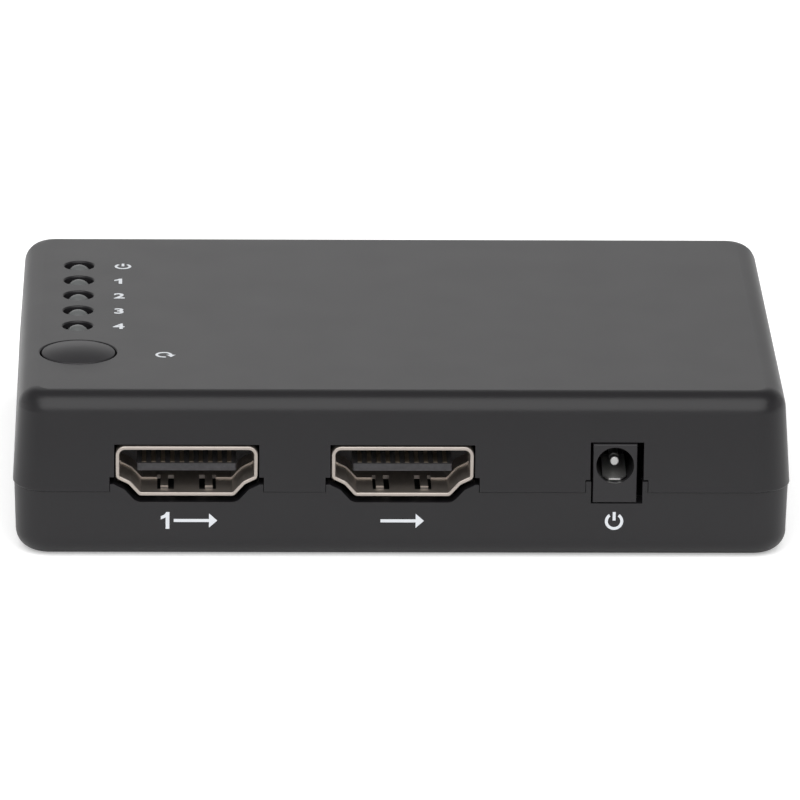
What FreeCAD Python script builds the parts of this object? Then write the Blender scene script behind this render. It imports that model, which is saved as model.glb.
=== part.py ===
import FreeCAD, Part
import math
import os

from FreeCAD import Vector

# A four-way HDMI splitter in a small moulded case, in millimetres.
# X runs left to right as seen from the front, Y runs front to back, Z runs up.
# The origin is the middle of the footprint, on the surface that the case stands on.

# Case
case_width = 82.4            # left to right, where the covers join
case_depth = 58.0            # front to back, where the covers join
case_height = 18.0           # up to the flat top
joint_height = 7.4           # up to the line where the covers join
corner_radius = 4.0          # the four corners in plan
top_draft = 0.75             # how far a side leans in between the joint and the top
bottom_draft = 0.2           # how far a side leans in between the joint and the bottom
top_edge_radius = 2.2
bottom_edge_radius = 2.2
joint_edge_radius = 0.22     # the soft lower edge of the top cover
overhang = 0.16              # the top cover stands proud of the bottom cover
side_row = 6.7               # side of the case to the row of lamps and the screws
wall = 2.0                   # side walls at the joint
roof = 2.0
base_thickness = 2.0

# Lip inside the joint
lip_thickness = 0.8
lip_height = 1.5
lip_clearance = 0.1

# Circuit board
board_thickness = 1.6
board_height = 4.7           # up to the underside of the board
board_clearance = 0.6        # board edge to the inside of the case

# Screws and their bosses
screw_end_gap = 5.5          # front or back of the case to a screw
screw_core_radius = 1.0
screw_length = 9.0
screw_head_radius = 2.0
screw_head_height = 1.2
screw_head_depth = 0.8       # underside of the case to the head
screw_clearance = 0.3        # round the head and the shank
screw_recess_width = 0.5     # the arms of the cross in the head
screw_recess_length = 2.4
screw_recess_depth = 0.7
thread_gap = 0.03            # screw core to the pilot hole
boss_wall = 1.4
base_boss_wall = 0.9

# Sockets in the front and the back
port_side_gap = 18.4         # side of the case to the middle of an outer socket
port_setback = 0.2           # the mouth of a socket behind the joint line's outline
port_lift = 0.65             # top of the board to the underside of the metal shell
shell_width = 15.0
shell_height = 5.5
shell_metal = 0.4
shell_length = 11.0
shell_top_radius = 1.0
shell_side_drop = 3.55       # top of the shell to the end of its straight sides
shoulder_inset = 1.35        # the shoulder stands in from the side
shoulder_drop = 4.22         # top of the shell to the shoulder
floor_inset = 2.5            # the narrow floor's end stands in from the side
shell_bend_radius = 0.6
shell_rim_radius = 0.12
liner_depth = 4.55           # mouth to the step inside the lower half
liner_thickness = 0.15
liner_drop = 0.35            # socket's middle to the upper ends of the step
finger_offset = 2.35         # middle of a spring finger from the socket's middle
finger_width = 0.8
finger_outer_slot = 0.36
finger_inner_slot = 0.62
finger_start = 1.5
finger_length = 4.2
finger_dip = 0.25
leg_width = 1.0
leg_depths = (4.2, 9.4)      # mouth to the two pairs of legs
leg_tail = 0.5               # below the board
leg_clearance = 0.15

# Tongue, its carrier and the contacts
tongue_width = 10.5
tongue_thickness = 0.8
tongue_rise = 0.1            # above the socket's middle
tongue_recess = 1.2          # behind the mouth
tongue_chamfer = 0.12
carrier_front = 7.5          # mouth to the front of the carrier
carrier_length = 4.0
carrier_clearance = 0.02
carrier_foot_width = 9.0
contact_width = 0.45
contact_metal = 0.12
contact_pitch = 1.0
upper_contacts = 10
lower_contacts = 9
contact_start = 1.6
contact_foot = 1.3

# Openings in the covers for the sockets
opening_clearance = 0.15     # round the shell, in the top cover
opening_step = 0.5           # the opening widens by this much lower down
opening_step_drop = 0.65     # socket's middle to the step
tab_clearance = 0.06         # sides of the bottom cover's tabs
tab_drop = 1.45              # socket's middle to the top of the tab
tab_gap = 0.68               # round the lower half of the shell, in the tab

# Power socket
jack_side_gap = 18.77        # side of the case to the socket's middle
jack_width = 4.65
jack_height = 6.5
jack_length = 12.0
jack_setback = 0.16
jack_hole_radius = 2.0
jack_hole_rise = 4.15        # top of the board to the hole's middle
jack_hole_depth = 9.0
jack_pin_radius = 0.5
jack_pin_recess = 1.5
jack_pin_groove = 0.07
jack_pin_edge = 0.16         # rounding of the pin's blunt tip
jack_edge_radius = 0.15
jack_opening_offset = 0.22   # the opening's middle, to the right of the jack's
jack_opening_width = 5.65
jack_opening_rise = 6.65     # top of the board to the top of the opening
jack_opening_step_rise = 2.55
jack_tab_rise = 2.35
jack_tab_gap = 0.1
jack_under_gap = 0.1
leaf_width = 2.5
leaf_metal = 0.2
leaf_start = 0.7
leaf_crest_depth = 5.6
leaf_crest_drop = 0.9        # hole's middle to the crest
leaf_drop = 1.85             # hole's middle to the ends of the leaf
leaf_end = 8.2
leaf_crest_length = 0.8
leaf_nose_width = 1.2        # the front end is narrower
leaf_nose_length = 0.7
jack_leg_width = 1.6
jack_leg_metal = 0.4
jack_leg_depths = (4.8, 7.8, 10.8)
jack_pin_rings = (0.85, 0.9, 1.05, 1.1)   # tip to each edge of the ring

# Lamps
lamp_back_gap = 12.3         # back of the case to the first lamp
lamp_button_gap = 9.1        # last lamp to the button
lamp_count = 5
lamp_radius = 1.4
lamp_body_height = 5.0       # flange to the tip of the dome
lamp_flange_radius = 1.8
lamp_flange_height = 0.8
lamp_hole_clearance = 0.21
lamp_proud = 0.06            # tip of the dome above the flat top
lead_pitch = 2.54
lead_width = 0.45
lead_tail = 0.5
hole_edge_radius = 0.18

# Reset button
button_front_gap = 15.2      # front of the case to the button
button_radius = 3.93
button_gap = 0.17
button_offset = 0.16         # its middle, to the right of the row of lamps
button_dome = 0.65           # how far the dome rises above the flat top
button_edge_radius = 0.15    # where the dome meets the cap's side
button_wall = 1.1
button_flange_radius = 5.0
button_flange_height = 0.8
button_flange_gap = 0.2      # under the roof
button_side_gap = 0.3        # the flange is cut flat beside the case's wall
button_stem_radius = 1.6
button_travel = 0.3

# Push switch under the button
switch_width = 6.0
switch_height = 3.5
switch_cover_metal = 0.25
switch_cavity_radius = 2.3
switch_cavity_depth = 2.2
plunger_radius = 1.7
plunger_gap = 0.12
plunger_flange_radius = 2.1
plunger_flange_height = 0.5
plunger_height = 1.5         # above the metal cover
plunger_dome_gap = 0.08      # running room over the snap disc
snap_disc_radius = 2.0
snap_disc_metal = 0.1
snap_disc_spare = 0.15       # rise that is left when the button is pressed home
switch_leg_width = 0.7
switch_leg_metal = 0.3

# What is soldered to the board
chip_width = 14.0
chip_height = 1.4
chip_place = (2.0, 0.0)
chip_bevel = 0.2
chip_pin_count = 16
chip_pin_pitch = 0.8
memory_width = 4.0
memory_length = 5.0
memory_height = 1.5
memory_places = ((-16.0, 5.5), (-16.0, -5.5))
memory_pin_count = 4
memory_pin_pitch = 1.27
pin_width = 0.35
pin_reach = 1.0
pin_metal = 0.15
pin_rise = 0.5
regulator_size = (6.5, 3.5, 1.6)
regulator_side_gap = 13.5    # side of the case to its middle
regulator_y = -9.0
regulator_tab = (3.0, 1.7, 0.3)
regulator_pin_count = 3
regulator_pin_pitch = 2.3
coil_width = 6.0
coil_height = 3.0
coil_corner = 1.2
coil_side_gap = 14.0
coil_y = 3.0
coil_pad = 1.2
crystal_size = (11.0, 4.6, 3.6)
crystal_corner = 2.1
crystal_place = (15.5, -11.0)
can_radius = 2.5
can_height = 5.0
can_foot_width = 5.3
can_foot_height = 0.7
can_edge = 0.4
can_side_gap = 7.0           # side of the case to the middles of two cans
can_spread = 12.0            # those two, to the front and the back
lone_can_gap = 15.0          # the other side of the case to the third can
chip_part = (1.6, 0.8, 0.5)   # the small surface parts: length, width and height
ceramic_places = (-4.5, -1.5, 1.5, 4.5)   # along two sides of the main chip
ceramic_gap = 1.0            # beyond the main chip's pins
resistor_count = 8           # behind each socket
resistor_pitch = 1.6
resistor_gap = 1.2           # behind the sockets' solder feet
guard_size = (3.0, 1.1, 0.7)
guard_gap = 0.8              # behind the resistors

# Worked out from the sizes above
board_top = board_height + board_thickness
board_width = case_width - 2 * wall - 2 * board_clearance
board_depth = case_depth - 2 * wall - 2 * board_clearance
port_pitch = case_width / 2 - port_side_gap
port_height = board_top + port_lift + shell_height / 2
port_mouth = case_depth / 2 - port_setback
ceiling = case_height - roof
lip_top = joint_height + lip_height
carrier_end = carrier_front + carrier_length
board_level = board_top - port_height
jack_x = case_width / 2 - jack_side_gap
jack_front = -(case_depth / 2 - jack_setback)
jack_hole_height = board_top + jack_hole_rise
snap_disc_rise = button_travel + snap_disc_spare
switch_top = board_top + switch_height
plunger_top = switch_top + plunger_height
row_x = side_row - case_width / 2
button_x = row_x + button_offset
button_y = button_front_gap - case_depth / 2
lamp_first_y = case_depth / 2 - lamp_back_gap
lamp_pitch = (lamp_first_y - button_y - lamp_button_gap) / (lamp_count - 1)
lamp_base = case_height + lamp_proud - lamp_body_height
screw_y = case_depth / 2 - screw_end_gap
screw_seat = screw_head_depth + screw_head_height
boss_radius = screw_core_radius + thread_gap + boss_wall
screw_places = [(x, y) for x in (row_x, -row_x) for y in (-screw_y, screw_y)]
lamp_places = [(row_x, lamp_first_y - i * lamp_pitch) for i in range(lamp_count)]
regulator_place = (case_width / 2 - regulator_side_gap, regulator_y)
coil_place = (case_width / 2 - coil_side_gap, coil_y)
can_places = [(case_width / 2 - can_side_gap, y) for y in (-can_spread, can_spread)]
can_places = can_places + [(lone_can_gap - case_width / 2, 0.0)]
front_ports = {"output_1": -port_pitch, "input": 0.0}
back_ports = {"output_2": port_pitch, "output_3": 0.0, "output_4": -port_pitch}


# Basic forms
def box(x0, x1, y0, y1, z0, z1):
    return Part.makeBox(x1 - x0, y1 - y0, z1 - z0, Vector(x0, y0, z0))


def rod(radius, z0, z1, x=0.0, y=0.0):
    return Part.makeCylinder(radius, z1 - z0, Vector(x, y, z0))


def rod_along_y(radius, y0, y1, x, z):
    return Part.makeCylinder(radius, y1 - y0, Vector(x, y0, z), Vector(0, 1, 0))


def fused(shapes):
    whole = shapes[0]
    for shape in shapes[1:]:
        whole = whole.fuse(shape)
    return whole.removeSplitter()


def solids_of(shape):
    found = shape.Solids
    return found[0] if len(found) == 1 else Part.makeCompound(found)


def outline_2d(points, radii):
    """Corner points (x, z) of a closed outline in the plane y = 0, each corner rounded."""
    edges = []
    spots = []
    count = len(points)
    for i in range(count):
        corner = Vector(points[i][0], 0, points[i][1])
        before = Vector(points[i - 1][0], 0, points[i - 1][1]) - corner
        after = Vector(points[(i + 1) % count][0], 0, points[(i + 1) % count][1]) - corner
        before.normalize()
        after.normalize()
        half = before.getAngle(after) / 2
        reach = radii[i] / math.tan(half)
        middle = before + after
        middle.normalize()
        start = corner + before * reach
        end = corner + after * reach
        crown = corner + middle * (radii[i] / math.sin(half) - radii[i])
        edges.append(Part.Arc(start, crown, end).toShape())
        spots.append((start, end))
    for i in range(count):
        edges.append(Part.makeLine(spots[i - 1][1], spots[i][0]))
    return Part.Wire(Part.__sortEdges__(edges))


def inset_points(points, distance):
    """Move every side of a clockwise outline inwards by the distance."""
    moved = []
    count = len(points)
    for i in range(count):
        (ax, az), (bx, bz), (cx, cz) = points[i - 1], points[i], points[(i + 1) % count]
        first = Vector(bx - ax, 0, bz - az)
        second = Vector(cx - bx, 0, cz - bz)
        first.normalize()
        second.normalize()
        first_in = Vector(first.z, 0, -first.x)
        second_in = Vector(second.z, 0, -second.x)
        share = 1 + first_in.dot(second_in)
        shift = (first_in + second_in) * (distance / share)
        moved.append((bx + shift.x, bz + shift.z))
    return moved


def plan_wire(width, depth, radius, z):
    """A rounded rectangle round the Z axis, at height z."""
    a = width / 2
    b = depth / 2
    r = radius
    c = r * math.cos(math.pi / 4)
    edges = []
    for sx, sy in ((1, 1), (-1, 1), (-1, -1), (1, -1)):
        centre = Vector(sx * (a - r), sy * (b - r), z)
        side = centre + Vector(sx * r, 0, 0)
        crown = centre + Vector(sx * c, sy * c, 0)
        end = centre + Vector(0, sy * r, 0)
        edges.append(Part.Arc(side, crown, end).toShape())
    edges.append(Part.makeLine(Vector(a - r, b, z), Vector(r - a, b, z)))
    edges.append(Part.makeLine(Vector(a - r, -b, z), Vector(r - a, -b, z)))
    edges.append(Part.makeLine(Vector(a, b - r, z), Vector(a, r - b, z)))
    edges.append(Part.makeLine(Vector(-a, b - r, z), Vector(-a, r - b, z)))
    return Part.Wire(Part.__sortEdges__(edges))


def plan_block(width, depth, radius, z0, z1, lean=0.0):
    """A block with rounded corners whose sides lean in by the given amount at z1."""
    lower = plan_wire(width, depth, radius, z0)
    if lean == 0:
        return Part.Face(lower).extrude(Vector(0, 0, z1 - z0))
    upper = plan_wire(width - 2 * lean, depth - 2 * lean, radius - lean, z1)
    return Part.makeLoft([lower, upper], True, True)


def round_level_edges(shape, z, radius):
    """Round the edges that lie wholly at height z."""
    edges = [
        e for e in shape.Edges
        if abs(e.BoundBox.ZMin - z) < 1e-4 and abs(e.BoundBox.ZMax - z) < 1e-4
    ]
    return shape.makeFillet(radius, edges)


def round_hole_edges(shape, z, radius, places, hole_radius):
    """Round the upper edges of round holes at height z."""
    edges = []
    for e in shape.Edges:
        level = abs(e.BoundBox.ZMin - z) < 1e-4 and abs(e.BoundBox.ZMax - z) < 1e-4
        if not level or not isinstance(e.Curve, Part.Circle):
            continue
        near = [p for p in places if (Vector(p[0], p[1], z) - e.Curve.Center).Length < 1e-3]
        if near and abs(e.Curve.Radius - hole_radius) < 1e-4:
            edges.append(e)
    return shape.makeFillet(radius, edges)


# Case
def cavity(z0, z1, grow=0.0):
    """The straight-sided space inside the covers, made wider all round by grow."""
    inside = wall - grow
    return plan_block(case_width - 2 * inside, case_depth - 2 * inside, corner_radius - inside, z0, z1)


def port_opening(x, side):
    """What the top cover leaves open for one socket: a window and a wider lower part."""
    out = side * case_depth
    inner = side * (case_depth / 2 - wall - lip_thickness)
    y0 = min(inner, out)
    y1 = max(inner, out)
    half = shell_width / 2 + opening_clearance
    top = port_height + shell_height / 2 + opening_clearance
    window = box(x - half, x + half, y0, y1, joint_height - 1, top)
    half = half + opening_step
    step = box(x - half, x + half, y0, y1, joint_height - 1, port_height - opening_step_drop)
    return window.fuse(step)


def port_tab(x, side):
    """The bottom cover's tab that closes the lower part of a socket's opening."""
    half = shell_width / 2 + opening_clearance + opening_step - tab_clearance
    outer = side * (case_depth / 2 - overhang)
    inner = side * (case_depth / 2 - wall)
    tab = box(x - half, x + half, min(inner, outer), max(inner, outer),
              joint_height - 1, port_height - tab_drop)
    return tab


def port_clearance(x, side):
    """The space round the lower half of a socket's shell, cut from the bottom cover."""
    points = inset_points(shell_points(), -tab_gap)
    face = Part.Face(outline_2d(points, shell_radii(-tab_gap)))
    block = face.extrude(Vector(0, side * case_depth, 0))
    block.translate(Vector(x, side * (case_depth / 2 - wall - lip_thickness), port_height))
    return block


def jack_opening():
    x = jack_x + jack_opening_offset
    half = jack_opening_width / 2
    y1 = -(case_depth / 2 - wall - lip_thickness)
    window = box(x - half, x + half, -case_depth, y1, joint_height - 1, board_top + jack_opening_rise)
    half = half + opening_step
    step = box(x - half, x + half, -case_depth, y1, joint_height - 1, board_top + jack_opening_step_rise)
    return window.fuse(step)


def jack_tab():
    x = jack_x + jack_opening_offset
    half = jack_opening_width / 2 + opening_step - tab_clearance
    return box(x - half, x + half, overhang - case_depth / 2, wall - case_depth / 2,
               joint_height - 1, board_top + jack_tab_rise)


def jack_clearance():
    x = jack_x + jack_opening_offset
    half = jack_opening_width / 2 - jack_tab_gap
    y1 = -(case_depth / 2 - wall - lip_thickness)
    return box(x - half, x + half, -case_depth, y1, board_top - jack_under_gap, case_height)


def all_port_places():
    places = [(x, -1) for x in front_ports.values()]
    return places + [(x, 1) for x in back_ports.values()]


def make_top_cover():
    cover = plan_block(case_width, case_depth, corner_radius, joint_height, case_height, top_draft)
    cover = round_level_edges(cover, case_height, top_edge_radius)
    cover = round_level_edges(cover, joint_height, joint_edge_radius)
    cover = cover.cut(cavity(joint_height - 1, ceiling))
    rebate = cavity(joint_height - 1, lip_top + lip_clearance, lip_thickness + lip_clearance)
    cover = cover.cut(rebate)
    for x, y in screw_places:
        cover = cover.fuse(rod(boss_radius, board_top, ceiling, x, y))
    pilot = screw_core_radius + thread_gap
    for x, y in screw_places:
        cover = cover.cut(rod(pilot, board_top - 1, screw_seat + screw_length + 0.5, x, y))
    for x, side in all_port_places():
        cover = cover.cut(port_opening(x, side))
    cover = cover.cut(jack_opening())
    lamp_hole = lamp_radius + lamp_hole_clearance
    for x, y in lamp_places:
        cover = cover.cut(rod(lamp_hole, ceiling - 1, case_height + 1, x, y))
    button_hole = button_radius + button_gap
    cover = cover.cut(rod(button_hole, ceiling - 1, case_height + 1, button_x, button_y))
    cover = round_hole_edges(cover, case_height, hole_edge_radius, lamp_places, lamp_hole)
    cover = round_hole_edges(cover, case_height, hole_edge_radius, [(button_x, button_y)], button_hole)
    return cover.removeSplitter()


def make_bottom_cover():
    width = case_width - 2 * overhang
    depth = case_depth - 2 * overhang
    radius = corner_radius - overhang
    lean = bottom_draft
    lower = plan_wire(width - 2 * lean, depth - 2 * lean, radius - lean, 0)
    upper = plan_wire(width, depth, radius, joint_height)
    cover = Part.makeLoft([lower, upper], True, True)
    cover = round_level_edges(cover, 0, bottom_edge_radius)
    cover = cover.fuse(cavity(joint_height - 1, lip_top, lip_thickness))
    openings = [port_opening(x, side) for x, side in all_port_places()] + [jack_opening()]
    above = box(-case_width, case_width, -case_depth, case_depth, joint_height, case_height)
    for opening in openings:
        cover = cover.cut(opening.common(above))
    for x, side in all_port_places():
        cover = cover.fuse(port_tab(x, side))
    cover = cover.fuse(jack_tab())
    cover = cover.cut(cavity(base_thickness, case_height))
    for x, side in all_port_places():
        cover = cover.cut(port_clearance(x, side))
    cover = cover.cut(jack_clearance())
    head_hole = screw_head_radius + screw_clearance
    for x, y in screw_places:
        cover = cover.fuse(rod(head_hole + base_boss_wall, base_thickness - 1, board_height, x, y))
    for x, y in screw_places:
        cover = cover.cut(rod(head_hole, -1, screw_seat, x, y))
        cover = cover.cut(rod(screw_core_radius + screw_clearance, 0, board_height + 1, x, y))
    return cover.removeSplitter()


def make_screw(x, y):
    head = rod(screw_head_radius, screw_head_depth, screw_seat)
    head = round_level_edges(head, screw_head_depth, screw_head_height / 3)
    tip = screw_seat + screw_length
    point = Part.makeCone(screw_core_radius, screw_core_radius / 3, screw_core_radius,
                          Vector(0, 0, tip - screw_core_radius))
    screw = fused([head, rod(screw_core_radius, screw_seat, tip - screw_core_radius), point])
    arm = screw_recess_width / 2
    reach = screw_recess_length / 2
    deep = screw_head_depth + screw_recess_depth
    for half_x, half_y in ((arm, reach), (reach, arm)):
        screw = screw.cut(box(-half_x, half_x, -half_y, half_y, screw_head_depth - 1, deep))
    screw.translate(Vector(x, y, 0))
    return screw


# One socket, with its mouth in the plane y = 0, its middle at z = 0 and its depth along +Y
def shell_points():
    a = shell_width / 2
    top = shell_height / 2
    right = [
        (a, top),
        (a, top - shell_side_drop),
        (a - shoulder_inset, top - shoulder_drop),
        (a - floor_inset, -top),
    ]
    left = [(-x, z) for x, z in reversed(right)]
    return right + left


def shell_radii(shift):
    """Corner radii of the outline, for an outline that is moved inwards by shift."""
    outer = shell_bend_radius - shift
    inner = shell_bend_radius + shift
    right = [shell_top_radius - shift, outer, inner, outer]
    return [max(r, 0.05) for r in right + right[::-1]]


def shell_prism(shift, y0, y1):
    face = Part.Face(outline_2d(inset_points(shell_points(), shift), shell_radii(shift)))
    block = face.extrude(Vector(0, y1 - y0, 0))
    block.translate(Vector(0, y0, 0))
    return block


def round_mouth(shell):
    """Soften the outer and the inner edge of the shell's mouth."""
    edges = [
        e for e in shell.Edges
        if abs(e.BoundBox.YMin) < 1e-4 and abs(e.BoundBox.YMax) < 1e-4
    ]
    return shell.makeFillet(shell_rim_radius, edges)


def spring_finger(x, upward):
    """A strip of the shell's floor or roof that dips into the socket."""
    sign = 1 if upward else -1
    face_out = -sign * shell_height / 2
    face_in = face_out + sign * shell_metal
    end = finger_start + finger_length
    profile = [
        (end, face_out),
        (finger_start, face_out + sign * finger_dip),
        (finger_start, face_in + sign * finger_dip),
        (end, face_in),
    ]
    corners = [Vector(x - finger_width / 2, y, z) for y, z in profile]
    strip = Part.Face(Part.makePolygon(corners + corners[:1]))
    return strip.extrude(Vector(finger_width, 0, 0))


def make_shell():
    shell = shell_prism(0, 0, shell_length).cut(shell_prism(shell_metal, -1, shell_length + 1))
    shell = round_mouth(shell)
    liner = shell_prism(shell_metal / 2, liner_depth, carrier_front)
    liner = liner.cut(shell_prism(shell_metal + liner_thickness, 0, shell_length))
    liner = liner.common(box(-shell_width, shell_width, 0, shell_length, -shell_height, -liner_drop))
    slot_inner = finger_offset - finger_width / 2 - finger_inner_slot
    slot_outer = finger_offset + finger_width / 2 + finger_outer_slot
    liner = liner.cut(box(-slot_outer, slot_outer, 0, shell_length, -shell_height, shell_height))
    shell = shell.fuse(liner)
    cut_start = finger_start - finger_outer_slot
    cut_end = finger_start + finger_length
    for side in (-1, 1):
        x0, x1 = sorted((side * slot_inner, side * slot_outer))
        for upward in (True, False):
            sign = -1 if upward else 1
            z0, z1 = sorted((sign * shell_height, sign * shell_height / 4))
            shell = shell.cut(box(x0, x1, cut_start, cut_end, z0, z1))
            shell = shell.fuse(spring_finger(side * finger_offset, upward))
    foot_half = carrier_foot_width / 2 + carrier_clearance
    shell = shell.cut(box(-foot_half, foot_half, carrier_front, shell_length + 1,
                          -shell_height, -shell_height / 4))
    side = shell_width / 2
    bottom = board_level - board_thickness - leg_tail
    for depth in leg_depths:
        for x0 in (-side, side - shell_metal):
            y0 = depth - leg_width / 2
            top = shell_height / 2 - shell_side_drop + shell_bend_radius
            shell = shell.fuse(box(x0, x0 + shell_metal, y0, y0 + leg_width, bottom, top))
    return shell.removeSplitter()


def contact_places():
    """Each contact's place across the tongue, and whether it runs on its upper face."""
    upper = [((i - (upper_contacts - 1) / 2) * contact_pitch, True) for i in range(upper_contacts)]
    lower = [((i - (lower_contacts - 1) / 2) * contact_pitch, False) for i in range(lower_contacts)]
    return upper + lower


def make_contact(x, on_top):
    half = contact_width / 2
    tail_half = contact_pitch / 8
    sink = contact_metal / 2
    face = tongue_rise + (tongue_thickness / 2 if on_top else -tongue_thickness / 2)
    blade = box(x - half, x + half, contact_start, carrier_front, face - sink, face + sink)
    rear = box(x - tail_half, x + tail_half, carrier_front, carrier_end + contact_metal,
               face - sink, face + sink)
    drop = box(x - tail_half, x + tail_half, carrier_end, carrier_end + contact_metal,
               board_level, face + sink)
    foot = box(x - tail_half, x + tail_half, carrier_end, carrier_end + contact_foot,
               board_level, board_level + contact_metal)
    return fused([blade, rear, drop, foot])


def make_carrier(contacts):
    """The moulded block at the back of the socket, with the tongue that it carries."""
    block = shell_prism(shell_metal + carrier_clearance, carrier_front, carrier_end)
    half = tongue_width / 2
    low = tongue_rise - tongue_thickness / 2
    high = tongue_rise + tongue_thickness / 2
    corners = [
        Vector(-half, carrier_front + 0.5, low),
        Vector(-half, tongue_recess + tongue_chamfer, low),
        Vector(-half + tongue_chamfer, tongue_recess, low),
        Vector(half - tongue_chamfer, tongue_recess, low),
        Vector(half, tongue_recess + tongue_chamfer, low),
        Vector(half, carrier_front + 0.5, low),
    ]
    tongue = Part.Face(Part.makePolygon(corners + corners[:1])).extrude(Vector(0, 0, high - low))
    foot_half = carrier_foot_width / 2
    foot = box(-foot_half, foot_half, carrier_front + carrier_clearance, carrier_end,
               board_level, -shell_height / 4)
    carrier = fused([block, tongue, foot])
    return carrier.cut(Part.makeCompound(contacts))


def placed_socket(shape, x, side):
    """A socket's piece moved from its own frame to the front or the back of the case."""
    piece = shape.copy()
    if side > 0:
        piece.rotate(Vector(0, 0, 0), Vector(0, 0, 1), 180)
    piece.translate(Vector(x, side * port_mouth, port_height))
    return piece


# Power socket
def make_jack_body():
    half = jack_width / 2
    y1 = jack_front + jack_length
    body = box(jack_x - half, jack_x + half, jack_front, y1, board_top, board_top + jack_height)
    uprights = [
        e for e in body.Edges
        if e.BoundBox.ZLength > jack_height / 2 or e.BoundBox.XLength > jack_width / 2
    ]
    front = [e for e in uprights if e.BoundBox.YMax < jack_front + 1e-4]
    body = body.makeFillet(jack_edge_radius, front)
    hole = rod_along_y(jack_hole_radius, jack_front - 1, jack_front + jack_hole_depth,
                       jack_x, jack_hole_height)
    body = body.cut(hole)
    leaf_half = leaf_width / 2 + jack_under_gap
    slot_low = jack_hole_height - leaf_drop - jack_under_gap
    slot_top = jack_hole_height - math.sqrt(jack_hole_radius ** 2 - leaf_half ** 2)
    slot = box(jack_x - leaf_half, jack_x + leaf_half, jack_front + leaf_start - jack_under_gap,
               jack_front + jack_hole_depth, slot_low, slot_top)
    return body.cut(slot)


def make_jack_pin():
    """The round centre pin with its blunt tip and a shallow ring."""
    r = jack_pin_radius
    e = jack_pin_edge
    tip = jack_pin_recess
    back = jack_hole_depth
    groove = r - jack_pin_groove
    rings = [tip + d for d in jack_pin_rings]
    steps = [
        Vector(0, back, 0), Vector(r, back, 0),
        Vector(r, rings[3], 0), Vector(groove, rings[2], 0), Vector(groove, rings[1], 0),
        Vector(r, rings[0], 0), Vector(r, tip + e, 0),
    ]
    edges = [Part.makeLine(steps[i], steps[i + 1]) for i in range(len(steps) - 1)]
    turn = e * (1 - math.sin(math.pi / 4))
    crown = Vector(r - turn, tip + turn, 0)
    edges.append(Part.Arc(steps[-1], crown, Vector(r - e, tip, 0)).toShape())
    edges.append(Part.makeLine(Vector(r - e, tip, 0), Vector(0, tip, 0)))
    edges.append(Part.makeLine(Vector(0, tip, 0), steps[0]))
    face = Part.Face(Part.Wire(edges))
    pin = face.revolve(Vector(0, 0, 0), Vector(0, 1, 0), 360)
    pin.translate(Vector(jack_x, jack_front, jack_hole_height))
    return pin


def make_jack_leaf():
    """The bent strip under the pin that meets a plug's sleeve."""
    low = -leaf_drop
    crest = -leaf_crest_drop
    half = leaf_crest_length / 2
    under = [(leaf_start, low), (leaf_crest_depth - half, crest), (leaf_crest_depth + half, crest),
             (leaf_end, low)]
    upper = [(y, z + leaf_metal) for y, z in reversed(under)]
    side = leaf_width / 2
    corners = [Vector(-side, y, z) for y, z in under + upper]
    strip = Part.Face(Part.makePolygon(corners + corners[:1])).extrude(Vector(leaf_width, 0, 0))
    nose = leaf_nose_width / 2
    shoulder = leaf_start + leaf_nose_length
    plan = [(-nose, leaf_start), (nose, leaf_start), (side, shoulder), (side, leaf_end),
            (-side, leaf_end), (-side, shoulder)]
    outline = [Vector(x, y, low) for x, y in plan]
    block = Part.Face(Part.makePolygon(outline + outline[:1])).extrude(Vector(0, 0, leaf_drop))
    strip = strip.common(block)
    strip.translate(Vector(jack_x, jack_front, jack_hole_height))
    return strip


def make_jack_legs():
    """Three flat legs from under the jack through the board."""
    legs = []
    bottom = board_height - leg_tail
    for depth in jack_leg_depths:
        y = jack_front + depth
        legs.append(box(jack_x - jack_leg_width / 2, jack_x + jack_leg_width / 2,
                        y - jack_leg_metal / 2, y + jack_leg_metal / 2, bottom, board_top))
    return Part.makeCompound(legs)


# Lamps
def make_lamp(x, y):
    tip = case_height + lamp_proud
    shoulder = tip - lamp_radius
    flange = rod(lamp_flange_radius, lamp_base, lamp_base + lamp_flange_height, x, y)
    body = rod(lamp_radius, lamp_base, shoulder, x, y)
    dome = Part.makeSphere(lamp_radius, Vector(x, y, shoulder), Vector(0, 0, 1), 0, 90, 360)
    return fused([flange, body, dome])


def lead_places():
    return [(x + side * lead_pitch / 2, y) for x, y in lamp_places for side in (-1, 1)]


def make_lamp_leads():
    half = lead_width / 2
    bottom = board_height - lead_tail
    leads = [box(x - half, x + half, y - half, y + half, bottom, lamp_base) for x, y in lead_places()]
    return Part.makeCompound(leads)


# Reset button and its switch
def dome_solid(radius, rise, z):
    """A cap cut from a ball, standing on the plane at height z."""
    ball = (radius ** 2 + rise ** 2) / (2 * rise)
    start = math.degrees(math.asin((ball - rise) / ball))
    centre = Vector(0, 0, z + rise - ball)
    return Part.makeSphere(ball, centre, Vector(0, 0, 1), start, 90, 360)


def make_button():
    flange_top = ceiling - button_flange_gap
    flange_low = flange_top - button_flange_height
    cap = rod(button_radius, flange_low, case_height)
    cap = cap.fuse(dome_solid(button_radius, button_dome, case_height))
    cap = round_level_edges(cap, case_height, button_edge_radius)
    flat = wall - case_width / 2 + button_side_gap - button_x
    room = box(flat, case_width, -case_depth, case_depth, flange_low, flange_top)
    cap = cap.fuse(rod(button_flange_radius, flange_low, flange_top).common(room))
    hollow = rod(button_radius - button_wall, flange_low - 1, case_height - button_wall / 2)
    cap = cap.cut(hollow)
    cap = cap.fuse(rod(button_stem_radius, plunger_top, case_height - button_wall / 4))
    cap = cap.removeSplitter()
    cap.translate(Vector(button_x, button_y, 0))
    return cap


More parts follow.
